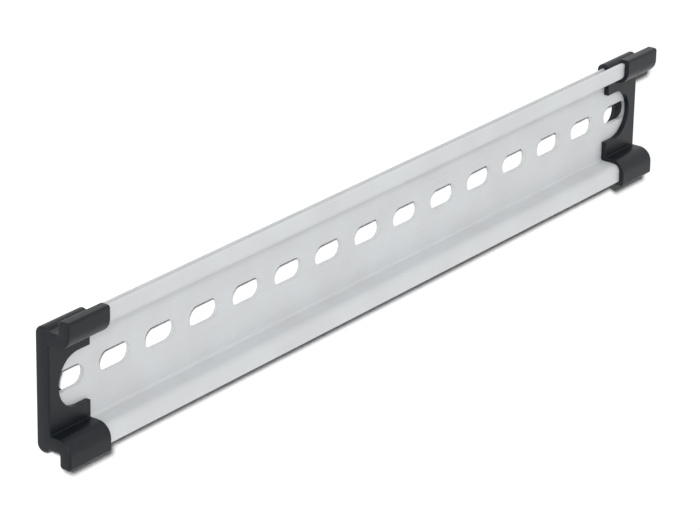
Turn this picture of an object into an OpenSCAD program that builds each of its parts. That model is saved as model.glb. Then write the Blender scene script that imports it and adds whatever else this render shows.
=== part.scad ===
// Slotted 35 mm top-hat mounting rail with a moulded end piece pushed over each end.
// It lies on its back: X runs along the rail, Y across it and Z up from the surface
// that the two end pieces rest on. The origin is the middle of that resting surface.

/* [Rail] */
// Length that the rail is cut to
rail_l = 247.4; // [120:0.1:500]
// Width across the two flanges
rail_w = 35; // [34:0.1:42]
// Depth from the back of the web to the front of the flanges
rail_h = 7.5; // [7:0.1:15]
// Thickness of the metal
wall = 1.25; // [0.9:0.05:1.5]
// Clear width between the side walls
channel_w = 25; // [22:0.1:25.4]
// Width across the two rounded beads at the back corners
back_w = 29.2; // [28.6:0.1:31]
// Radius inside each bend
bend_r = 0.8; // [0.4:0.05:1]
// Radius in the corner between a side wall and its bead
bead_r = 0.2; // [0.1:0.05:0.2]
// Radius on the edges of the flanges
edge_r = 0.2; // [0.1:0.05:0.4]

/* [Slots] */
// Width of a slot
slot_w = 5.4; // [4:0.1:8]
// Length of a slot from end to end
slot_l = 11.2; // [10:0.1:14]
// Distance from one slot to the next
slot_pitch = 16.65; // [15:0.05:30]
// Least metal left between a slot and the cut end of the rail
slot_end = 1; // [0.5:0.1:10]

/* [End pieces] */
// Length of an end piece along the rail
cap_l = 14.6; // [13:0.1:30]
// Thickness of the wall that closes the pocket at the outer end
end_wall = 1.2; // [0.8:0.1:3]
// Room between the cut end of the rail and the end wall
end_gap = 0.1; // [0.05:0.05:0.5]
// Clearance between the rail and its pocket
fit_gap = 0.05; // [0.03:0.01:0.15]
// Plastic behind the web
back_skin = 1.15; // [0.5:0.05:2]
// Plastic in front of the web
plate_skin = 1.45; // [0.8:0.05:3]
// Plastic round the beads at the back corners
bead_skin = 1.25; // [0.8:0.05:2]
// Plastic lining the inside of the side walls
lining_skin = 1.05; // [0.6:0.05:1.2]
// Plastic outside the side walls
side_skin = 1.2; // [0.8:0.05:1.5]
// Plastic in front of the flanges
front_skin = 1.45; // [0.8:0.05:2]
// Plastic behind the flanges
hook_skin = 0.5; // [0.5:0.05:1]
// Plastic past the edge of the flanges
tip_skin = 1.1; // [0.6:0.05:2]
// Radius of the rounded hood that leads from the channel on to a flange
hood_r = 3.8; // [3:0.1:4]
// Radius on the front corner of a hook's tip
tip_front_r = 0.7; // [0.3:0.05:1.2]
// Radius on the back corner of a hook's tip
tip_back_r = 1; // [0.5:0.05:1.2]
// Radius in the corner between a side of an end piece and the hook over it
groove_r = 0.4; // [0.2:0.05:0.6]
// Radius of the round end of the cut-out in front of the web
cut_r = 7; // [4:0.1:8]
// Depth of that cut-out from the inner end to the top of its curve
cut_depth = 11.1; // [9:0.1:11.5]
// Radius of the round end of the narrower cut-out behind the web
back_cut_r = 3.6; // [2.6:0.1:5]
// Depth of that cut-out from the inner end to the top of its curve
back_cut_depth = 8.3; // [6:0.1:11]

/* [Hidden] */
$fn = 72;

// How far a cutting shape runs past what it cuts
past = 1;

// The rail
outer_r = bend_r + wall;
channel_half = channel_w / 2;
wall_half = channel_half + wall;
back_half = back_w / 2;
rail_half = rail_w / 2;
rail_z = back_skin + fit_gap;
slot_n = 1 + floor((rail_l - slot_l - 2 * slot_end) / slot_pitch);
slot_row = (slot_n - 1) * slot_pitch;

// The end pieces
total_l = rail_l + 2 * (end_gap + end_wall);
slab_t = rail_z + wall + fit_gap + plate_skin;
slab_half = back_half + fit_gap + bead_skin;
bridge_in = channel_half - fit_gap - lining_skin;
bridge_out = wall_half + fit_gap + side_skin;
front_z = rail_z + rail_h + fit_gap + front_skin;
hook_z = rail_z + rail_h - wall - fit_gap - hook_skin;
tip_half = rail_half + fit_gap + tip_skin;

// Draws a flat Y, Z shape and its mirror image across the middle of the rail
module both_sides() {
    children();
    mirror([1, 0]) children();
}

// Runs a flat Y, Z section along X, from x = 0 to x = length
module along_rail(length) {
    rotate([90, 0, 90]) linear_extrude(length) children();
}

// A flat bar with its two corners rounded at the far end
module round_bar(start, end, low, high, low_r, high_r) {
    translate([start, low]) square([end - low_r - start, high - low - high_r]);
    translate([start, low + low_r]) square([end - high_r - start, high - low - low_r]);
    translate([start, low + low_r]) square([end - start, high - low - low_r - high_r]);
    translate([end - low_r, low + low_r]) circle(low_r);
    translate([end - high_r, high - high_r]) circle(high_r);
}

// The fillet in an inside corner, opening towards the signs of to_y and to_z
module fillet(y, z, r, to_y, to_z) {
    translate([y, z])
        difference() {
            translate([min(to_y, 0) * r, min(to_z, 0) * r]) square(r);
            translate([to_y * r, to_z * r]) circle(r);
        }
}

// One bend, from a side wall on to its flange
module front_bend(grow) {
    translate([channel_half + outer_r, rail_h - outer_r])
        intersection() {
            difference() {
                circle(outer_r + grow);
                circle(bend_r - grow);
            }
            translate([-outer_r - past, 0]) square(outer_r + past);
        }
}

// Half of the rail's section, with its back at z = 0, grown by a clearance
module half_section(grow) {
    translate([0, -grow]) square([back_half - wall / 2, wall + 2 * grow]);
    translate([back_half - wall / 2, wall / 2]) circle(wall / 2 + grow);
    translate([channel_half - grow, wall / 2])
        square([wall + 2 * grow, rail_h - outer_r - wall / 2]);
    front_bend(grow);
    round_bar(channel_half + outer_r, rail_half + grow,
        rail_h - wall - grow, rail_h + grow, edge_r + grow, edge_r + grow);
    fillet(channel_half - grow, wall + grow, bend_r - grow, -1, 1);
    fillet(wall_half + grow, wall + grow, bead_r - grow, 1, 1);
}

// One slot with full round ends, cut right through the web
module slot() {
    translate([0, 0, rail_z - past])
        linear_extrude(wall + 2 * past) {
            square([slot_l - slot_w, slot_w], center = true);
            for (side = [-1, 1])
                translate([side * (slot_l - slot_w) / 2, 0]) circle(slot_w / 2);
        }
}

// Half of the outline of an end piece, before its pocket is cut
module half_outline() {
    difference() {
        union() {
            square([slab_half - slab_t / 2, slab_t]);
            translate([slab_half - slab_t / 2, slab_t / 2]) circle(slab_t / 2);
            translate([bridge_in, slab_t / 2])
                square([bridge_out - bridge_in, front_z - slab_t / 2]);
            round_bar(bridge_in, tip_half, hook_z, front_z, tip_back_r, tip_front_r);
            fillet(bridge_out, hook_z, groove_r, 1, -1);
        }
        hood_corner();
    }
}

// What is taken off the front inner corner to leave the rounded hood
module hood_corner() {
    translate([bridge_in, front_z - hood_r])
        difference() {
            translate([-past, 0]) square([hood_r + past, hood_r + past]);
            translate([hood_r, 0]) circle(hood_r);
        }
}

// A cut-out from low to high, open at the inner end, with a round outer end
module slab_cut(depth, r, low, high) {
    translate([cap_l - depth + r, 0, low])
        linear_extrude(high - low) {
            circle(r);
            translate([0, -r]) square([depth - r + past, 2 * r]);
        }
}

// An end piece with its outer end at x = 0, moulded as one with its pocket
module end_piece() {
    difference() {
        along_rail(cap_l) both_sides() half_outline();
        translate([end_wall, 0, rail_z])
            along_rail(cap_l) both_sides() half_section(fit_gap);
        slab_cut(cut_depth, cut_r, rail_z + wall / 2, slab_t + past);
        slab_cut(back_cut_depth, back_cut_r, -past, rail_z + wall / 2);
    }
}

// The extruded rail with its row of slots
module rail() {
    color("#CED0D2")
        difference() {
            translate([-rail_l / 2, 0, rail_z])
                along_rail(rail_l) both_sides() half_section(0);
            for (i = [0:slot_n - 1])
                translate([i * slot_pitch - slot_row / 2, 0, 0]) slot();
        }
}

module end_piece_left() {
    color("#2B2D30") translate([-total_l / 2, 0, 0]) end_piece();
}

// The same moulding, turned round to face the other way
module end_piece_right() {
    color("#2B2D30") rotate([0, 0, 180]) translate([-total_l / 2, 0, 0]) end_piece();
}

rail();
end_piece_left();
end_piece_right();
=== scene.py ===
# The slotted mounting rail on its white table, with a moulded black end piece over each end.
import math

import bpy
from mathutils import Matrix, Vector


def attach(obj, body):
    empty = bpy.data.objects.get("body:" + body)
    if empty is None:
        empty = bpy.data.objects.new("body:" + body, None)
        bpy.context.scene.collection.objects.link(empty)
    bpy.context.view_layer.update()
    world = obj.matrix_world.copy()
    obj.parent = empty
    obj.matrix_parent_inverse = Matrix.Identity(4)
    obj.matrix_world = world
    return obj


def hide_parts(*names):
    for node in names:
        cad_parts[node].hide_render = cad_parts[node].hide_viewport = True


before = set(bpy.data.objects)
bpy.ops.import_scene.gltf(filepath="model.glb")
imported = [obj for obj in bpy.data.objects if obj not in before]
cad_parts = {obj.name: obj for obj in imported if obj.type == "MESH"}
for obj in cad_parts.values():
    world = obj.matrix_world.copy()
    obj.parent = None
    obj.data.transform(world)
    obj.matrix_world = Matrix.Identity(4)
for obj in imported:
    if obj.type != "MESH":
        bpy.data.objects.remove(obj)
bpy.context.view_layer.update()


# Every length here is in metres
MM = 0.001

# Radii of the softened edges, all within the solids' size
RAIL_EDGE = 0.08 * MM
MOULDED_EDGE = 0.16 * MM
OUTER_END_EDGE = 0.45 * MM
# Edges sharper than this are rounded
SHARP_ANGLE = math.radians(30)
# Triangles that meet flatter than this become one face, and points closer than this one point
FLAT_ANGLE = math.radians(0.5)
SAME_PLACE = 0.001 * MM

# The table, the two lamps, which share one place, and the room's even light
TABLE_SIZE = 6.0
LAMP_SIZE = 0.5
LAMP_PLACE = Vector((-4.2, 2.845, 3.26))
TABLE_LAMP_WATTS = 267.0
MAIN_LAMP_WATTS = 113.0
ROOM_FILL = 0.05

# The camera, solved from the rail's edges and slots in the photograph
AWAY = math.radians(53.609)
ABOVE = math.radians(22.541)
ROLL = math.radians(1.130)
STAND = Vector((-0.670048, 0.335087, 0.490819))
LENS_LENGTH = 179.347
SENSOR_WIDTH = 36.0


# Colours and nodes


def colour(hex_code):
    """An sRGB hex colour as a linear colour with full alpha."""
    parts = [int(hex_code[i:i + 2], 16) / 255 for i in (1, 3, 5)]
    linear = [c / 12.92 if c <= 0.04045 else ((c + 0.055) / 1.055) ** 2.4 for c in parts]
    return (*linear, 1.0)


def node(tree, kind, settings=None, inputs=None, **links):
    """Adds a node, sets its fields and input values, and links the named inputs."""
    made = tree.nodes.new(kind)
    for field, value in (settings or {}).items():
        setattr(made, field, value)
    for socket, value in (inputs or {}).items():
        made.inputs[socket].default_value = value
    for socket, source in links.items():
        tree.links.new(source, made.inputs[socket.replace("_", " ")])
    return made


def start_material(name):
    """An empty material with only its output node."""
    made = bpy.data.materials.new(name)
    made.use_nodes = True
    made.node_tree.nodes.clear()
    output = node(made.node_tree, "ShaderNodeOutputMaterial")
    return made, made.node_tree, output


def noise(tree, place, **values):
    """A noise pattern on the given coordinates."""
    return node(tree, "ShaderNodeTexNoise", {}, values, Vector=place).outputs[0]


def blend(tree, share, low, high):
    """A colour from low to high, led by the middle range of a pattern."""
    made = node(tree, "ShaderNodeValToRGB", Fac=share)
    for stop, position, code in zip(made.color_ramp.elements, (0.35, 0.65), (low, high)):
        stop.position = position
        stop.color = colour(code)
    return made.outputs[0]


def spread(tree, share, low, high):
    """A value from low to high, led by the middle range of a pattern."""
    values = {"From Min": 0.3, "From Max": 0.7, "To Min": low, "To Max": high}
    return node(tree, "ShaderNodeMapRange", {}, values, Value=share).outputs[0]


def surface(tree, output, shader):
    """Makes the shader the look of the material or the world."""
    tree.links.new(shader, output.inputs["Surface"])


# Materials


def satin_aluminium():
    """Extruded aluminium, etched to a satin finish: pale, even and cool, with a soft sheen
    and the fine draw lines that the die leaves along the rail."""
    made, tree, output = start_material("satin_extruded_aluminium")
    place = node(tree, "ShaderNodeTexCoord").outputs["Object"]
    # Draw lines about 0.35 mm apart and some 80 mm long; the real ones are finer than a pixel
    along = {"Scale": (12.0, 2800.0, 2800.0)}
    stretched = node(tree, "ShaderNodeMapping", {}, along, Vector=place).outputs[0]
    lines = noise(tree, stretched, Scale=1.0, Detail=3.0, Roughness=0.6)
    # The etch leaves the surface slightly cloudy, in patches about 12 mm across
    clouds = noise(tree, place, Scale=80.0, Detail=2.0)
    # Satin grain of about 0.25 mm
    grain = noise(tree, place, Scale=4000.0, Detail=1.0)
    drawn = node(tree, "ShaderNodeBump", {}, {"Strength": 0.05, "Distance": 0.02 * MM},
                 Height=lines)
    etched = node(tree, "ShaderNodeBump", {}, {"Strength": 0.15, "Distance": 0.02 * MM},
                  Height=grain, Normal=drawn.outputs[0])
    metal = node(tree, "ShaderNodeBsdfPrincipled", {},
                 {"Metallic": 1.0, "Specular Tint": colour("#DEDFE0")},
                 Base_Color=blend(tree, clouds, "#DDDEDF", "#E0E2E3"),
                 Roughness=spread(tree, lines, 0.82, 0.88), Normal=etched.outputs[0])
    surface(tree, output, metal.outputs[0])
    return made


def moulded_black():
    """Injection-moulded black polyamide from a spark-eroded tool: near black, a soft grey sheen
    on faces seen at a slant, and a fine matte texture."""
    made, tree, output = start_material("moulded_black_polyamide")
    place = node(tree, "ShaderNodeTexCoord").outputs["Object"]
    # Spark-eroded texture, about 0.3 mm from peak to peak
    grit = noise(tree, place, Scale=3300.0, Detail=2.0, Roughness=0.6)
    # Flow of the plastic in the tool, in patches about 5 mm across
    flow = noise(tree, place, Scale=200.0, Detail=2.0)
    rough = node(tree, "ShaderNodeBump", {}, {"Strength": 0.25, "Distance": 0.03 * MM},
                 Height=grit)
    plastic = node(tree, "ShaderNodeBsdfPrincipled", {}, {"IOR": 1.38},
                   Base_Color=blend(tree, flow, "#0B1015", "#10151B"),
                   Roughness=spread(tree, flow, 0.34, 0.42), Normal=rough.outputs[0])
    surface(tree, output, plastic.outputs[0])
    return made


def ray_kinds(tree):
    """Two values. The first is 1 where the camera sees the surface directly or through
    something, the second where it sees the surface mirrored. Both are 0 for the light that
    falls on a matte surface, also when it gets there by way of the metal."""
    ray = node(tree, "ShaderNodeLightPath").outputs
    direct = node(tree, "ShaderNodeMath", {"operation": "MAXIMUM"})
    tree.links.new(ray["Is Camera Ray"], direct.inputs[0])
    tree.links.new(ray["Is Transmission Ray"], direct.inputs[1])
    unspread = node(tree, "ShaderNodeMath", {"operation": "LESS_THAN"}, {1: 0.5})
    tree.links.new(ray["Diffuse Depth"], unspread.inputs[0])
    mirrored = node(tree, "ShaderNodeMath", {"operation": "MULTIPLY"})
    tree.links.new(ray["Is Glossy Ray"], mirrored.inputs[0])
    tree.links.new(unspread.outputs[0], mirrored.inputs[1])
    return direct.outputs[0], mirrored.outputs[0]


def shown_where(tree, share, shader, shown):
    """Mixes two shaders: the second shows where the share is 1."""
    mixed = node(tree, "ShaderNodeMixShader")
    for socket, source in enumerate((share, shader, shown)):
        tree.links.new(source, mixed.inputs[socket])
    return mixed.outputs[0]


def white_table():
    """A white table top: matte and even. The camera sees it bright, so that only the shadow
    close to the rail shows, and what the metal and the plastic mirror of it is plain white."""
    made, tree, output = start_material("white_table_top")
    # The table isn't a lamp; sampled as one, it leaves a soft dark patch in the metal
    made.cycles.emission_sampling = "NONE"
    direct, mirrored = ray_kinds(tree)
    matte = node(tree, "ShaderNodeBsdfDiffuse", {}, {"Color": colour("#F4F4F4")})
    twice = node(tree, "ShaderNodeAddShader")
    tree.links.new(matte.outputs[0], twice.inputs[0])
    tree.links.new(matte.outputs[0], twice.inputs[1])
    white = node(tree, "ShaderNodeEmission", {}, {"Color": colour("#FFFFFF"), "Strength": 1.0})
    shown = shown_where(tree, direct, matte.outputs[0], twice.outputs[0])
    surface(tree, output, shown_where(tree, mirrored, shown, white.outputs[0]))
    return made


# Pieces


def deselect_all():
    bpy.ops.object.select_all(action="DESELECT")


def only_select(piece):
    deselect_all()
    piece.select_set(True)
    bpy.context.view_layer.objects.active = piece


def add_object(name, data):
    made = bpy.data.objects.new(name, data)
    bpy.context.scene.collection.objects.link(made)
    return made


def worked_copy(cad_name, piece_name):
    """A copy of a CAD solid with its own mesh, its loose triangles merged into whole faces."""
    piece = add_object(piece_name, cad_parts[cad_name].data.copy())
    only_select(piece)
    bpy.ops.object.mode_set(mode="EDIT")
    bpy.ops.mesh.select_all(action="SELECT")
    bpy.ops.mesh.remove_doubles(threshold=SAME_PLACE)
    bpy.ops.mesh.dissolve_limited(angle_limit=FLAT_ANGLE)
    bpy.ops.object.mode_set(mode="OBJECT")
    return piece


def round_outer_end(piece, radius, segments):
    """Rounds the edges round the outer end of an end piece, as the mould leaves them."""
    only_select(piece)
    outer = max(abs(vertex.co.x) for vertex in piece.data.vertices)
    at_end = [outer - abs(vertex.co.x) < SAME_PLACE for vertex in piece.data.vertices]
    bpy.ops.object.mode_set(mode="EDIT")
    bpy.ops.mesh.select_mode(type="EDGE")
    bpy.ops.mesh.select_all(action="DESELECT")
    bpy.ops.object.mode_set(mode="OBJECT")
    for edge in piece.data.edges:
        edge.select = all(at_end[index] for index in edge.vertices)
    bpy.ops.object.mode_set(mode="EDIT")
    bpy.ops.mesh.bevel(offset=radius, segments=segments, affect="EDGES", clamp_overlap=False)
    bpy.ops.object.mode_set(mode="OBJECT")


def soften(piece, width, segments):
    """Rounds every sharp edge, and shades the rest smooth."""
    bpy.ops.object.shade_smooth_by_angle(angle=SHARP_ANGLE)
    bevel = piece.modifiers.new("softened_edges", "BEVEL")
    bevel.width = width
    bevel.segments = segments
    bevel.limit_method = "ANGLE"
    bevel.angle_limit = SHARP_ANGLE
    bevel.harden_normals = True
    bpy.ops.object.modifier_apply(modifier=bevel.name)


def finish_piece(piece, cad_name, material):
    """Gives a piece its material and puts it in place of the CAD solid, on the one body."""
    piece.data.materials.clear()
    piece.data.materials.append(material)
    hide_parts(cad_name)
    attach(piece, "root")


rail_metal = satin_aluminium()
end_plastic = moulded_black()

rail = worked_copy("rail", "slotted_rail")
soften(rail, RAIL_EDGE, 2)
finish_piece(rail, "rail", rail_metal)
for side in ("left", "right"):
    cap = worked_copy("end_piece_" + side, "moulded_end_" + side)
    round_outer_end(cap, OUTER_END_EDGE, 4)
    soften(cap, MOULDED_EDGE, 3)
    finish_piece(cap, "end_piece_" + side, end_plastic)


# Table, light and camera


def make_table():
    deselect_all()
    bpy.ops.mesh.primitive_plane_add(size=TABLE_SIZE, location=(0.0, 0.0, 0.0))
    table = bpy.context.active_object
    table.name = "table_top"
    table.data.materials.append(white_table())


def make_room():
    """A plain white room: an even soft fill, seen as white by the camera and in the metal."""
    room = bpy.data.worlds.new("white_room")
    bpy.context.scene.world = room
    room.use_nodes = True
    tree = room.node_tree
    tree.nodes.clear()
    output = node(tree, "ShaderNodeOutputWorld")
    fill = node(tree, "ShaderNodeBackground", {},
                {"Color": colour("#F6F8FB"), "Strength": ROOM_FILL}).outputs[0]
    white = node(tree, "ShaderNodeBackground", {},
                 {"Color": colour("#FFFFFF"), "Strength": 1.0}).outputs[0]
    direct, mirrored = ray_kinds(tree)
    shown = shown_where(tree, direct, fill, white)
    surface(tree, output, shown_where(tree, mirrored, shown, white))


def soft_box(name, watts, mirrored):
    """A square lamp that faces the middle of the rail. One that isn't mirrored lights the table
    and the plastic, and puts no glare of its own on the metal."""
    lamp = bpy.data.lights.new(name, "AREA")
    lamp.shape = "SQUARE"
    lamp.size = LAMP_SIZE
    lamp.energy = watts
    made = add_object(name, lamp)
    made.location = LAMP_PLACE
    made.rotation_euler = LAMP_PLACE.to_track_quat("Z", "Y").to_euler()
    made.visible_glossy = mirrored


def make_camera():
    """The camera of the photograph: where it stands, how it is turned and its lens."""
    backward = Vector((-math.sin(AWAY) * math.cos(ABOVE), math.sin(ABOVE),
                       math.cos(AWAY) * math.cos(ABOVE)))
    level = Vector((math.cos(AWAY), 0.0, math.sin(AWAY)))
    upright = backward.cross(level)
    rightward = math.cos(ROLL) * level + math.sin(ROLL) * upright
    upward = math.cos(ROLL) * upright - math.sin(ROLL) * level
    lens = bpy.data.cameras.new("photo_camera")
    lens.lens = LENS_LENGTH
    lens.sensor_width = SENSOR_WIDTH
    lens.sensor_fit = "HORIZONTAL"
    lens.clip_start = 0.01
    lens.clip_end = 20.0
    camera = add_object("photo_camera", lens)
    turned = Matrix((rightward, upward, backward)).transposed().to_4x4()
    camera.matrix_world = Matrix.Translation(STAND) @ turned
    bpy.context.scene.camera = camera


make_table()
make_room()
soft_box("table_soft_box", TABLE_LAMP_WATTS, False)
soft_box("main_soft_box", MAIN_LAMP_WATTS, True)
make_camera()
bpy.context.scene.view_settings.view_transform = "Standard"
